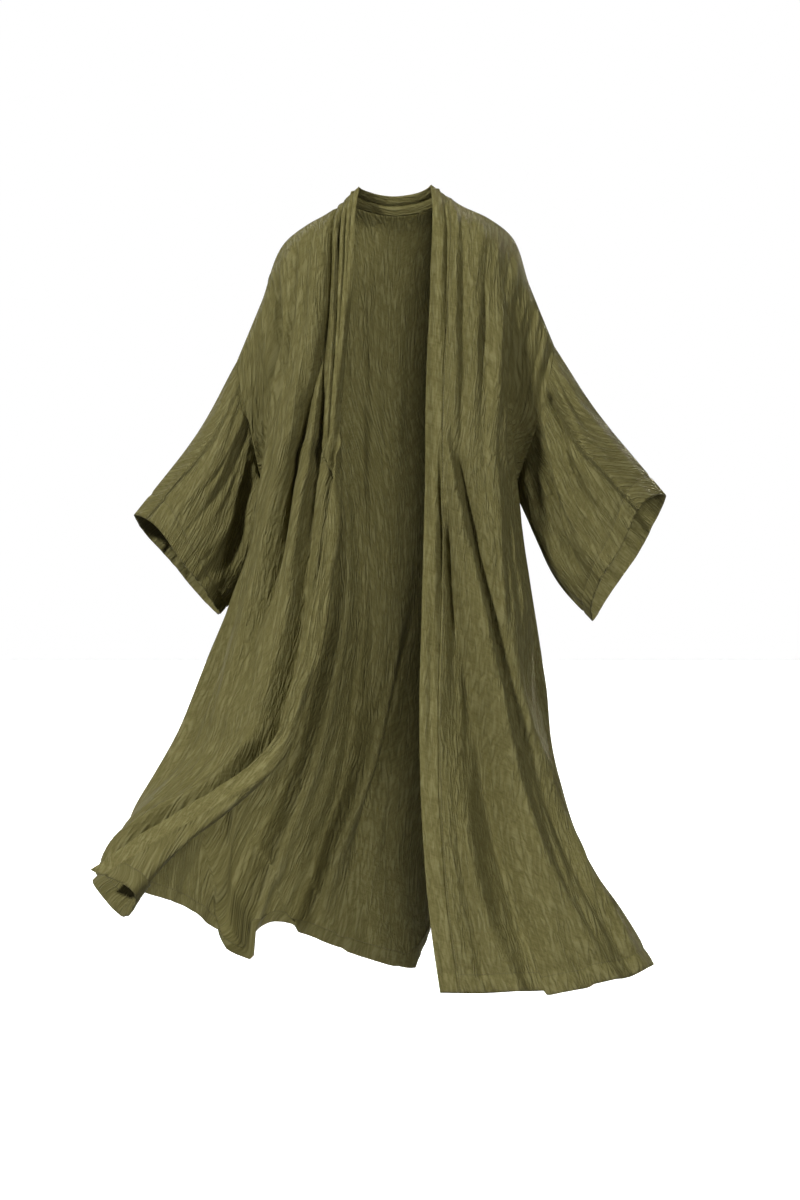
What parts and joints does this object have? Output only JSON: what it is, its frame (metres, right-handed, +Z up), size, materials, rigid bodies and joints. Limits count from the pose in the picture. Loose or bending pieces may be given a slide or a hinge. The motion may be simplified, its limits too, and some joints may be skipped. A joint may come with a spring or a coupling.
{
  "type": "kimono jacket",
  "caption": "Long open-front kimono jacket of crinkled olive gauze with wide dropped sleeves and a neckband down both front edges, filled out as worn and blown to one side.",
  "frame": {"origin": "base of the wearer's neck, midway between the shoulders on the shoulder line", "axes": "+Z up along the wearer, +X to the right as seen from the front, -Y to the front"},
  "size_m": [0.9151, 0.5268, 1.2837],
  "materials": {
    "gauze": "crinkled gauze, soft, a slight sheen on the ridges",
    "band": "the same gauze doubled, with stitching along the seam",
    "hem": "the same gauze turned up and stitched"
  },
  "bodies": {
    "root": {"back": "gauze", "front_right": "gauze", "front_left": "gauze", "sleeve_right": "gauze", "sleeve_left": "gauze", "band_neck": "band", "band_right": "band", "band_left": "band", "cuff_hem_right": "hem", "cuff_hem_left": "hem", "hem_back": "hem", "hem_right": "hem", "hem_left": "hem"}
  },
  "joints": []
}
